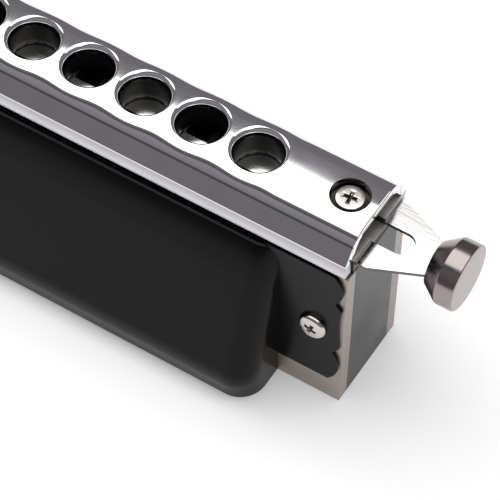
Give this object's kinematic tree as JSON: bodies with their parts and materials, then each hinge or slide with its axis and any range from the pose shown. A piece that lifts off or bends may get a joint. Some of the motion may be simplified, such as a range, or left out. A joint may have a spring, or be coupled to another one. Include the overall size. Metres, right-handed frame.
{
  "type": "chromatic harmonica",
  "caption": "Chromatic harmonica with round blow holes, plated mouthpiece, black sheet covers, reed plates on a comb and a spring-loaded slide with a round button.",
  "frame": {"origin": "middle of the comb's back face, which the open back of the covers also meets and the harmonica rests on", "axes": "+X along the length towards the slide button, +Z from the back towards the mouthpiece, +Y towards the upper cover"},
  "size_m": [0.1531, 0.033, 0.036],
  "materials": {
    "comb": "smooth moulded black",
    "reed_plates": "nickel-plated brass, brushed",
    "reeds": "bare brass",
    "rivets": "bare brass",
    "valves": "frosted film",
    "small_screws": "nickel plated",
    "gasket": "black",
    "slide_plates": "nickel plated",
    "slide_strip": "fine brushed spring steel",
    "button": "turned and plated",
    "bumpers": "black tube",
    "inserts": "bare brass",
    "mouthpiece_plating": "plated brass, polished",
    "bright_screws": "nickel plated",
    "cover_paint": "satin black",
    "nuts": "nickel plated",
    "spring_steel": "drawn music wire"
  },
  "bodies": {
    "harmonica": {"comb": "comb", "lower_reed_plate": "reed_plates", "upper_reed_plate": "reed_plates", "lower_draw_reeds": "reeds", "lower_blow_reeds": "reeds", "upper_draw_reeds": "reeds", "upper_blow_reeds": "reeds", "lower_reed_rivets": "rivets", "upper_reed_rivets": "rivets", "lower_outer_valves": "valves", "lower_inner_valves": "valves", "upper_outer_valves": "valves", "upper_inner_valves": "valves", "lower_reed_plate_screws": "small_screws", "upper_reed_plate_screws": "small_screws", "slide_gasket": "gasket", "back_plate": "slide_plates", "front_plate": "slide_plates", "screw_bumpers": "bumpers", "mouthpiece_inserts": "inserts", "mouthpiece": "mouthpiece_plating", "mouthpiece_screws": "bright_screws", "lower_cover": "cover_paint", "upper_cover": "cover_paint", "cover_screws": "bright_screws", "cover_nuts": "nuts", "slide_spring": "spring_steel"},
    "slide_bar": {"slide": "slide_strip", "slide_button": "button"}
  },
  "joints": [
    {"name": "slide_travel", "type": "slide", "parent": "harmonica", "child": "slide_bar", "axis": [-1, 0, 0], "range_m": [0, 0.0082], "stiffness_N_per_m": 150, "springref_m": -0.01, "deforming": ["slide_spring"]}
  ]
}
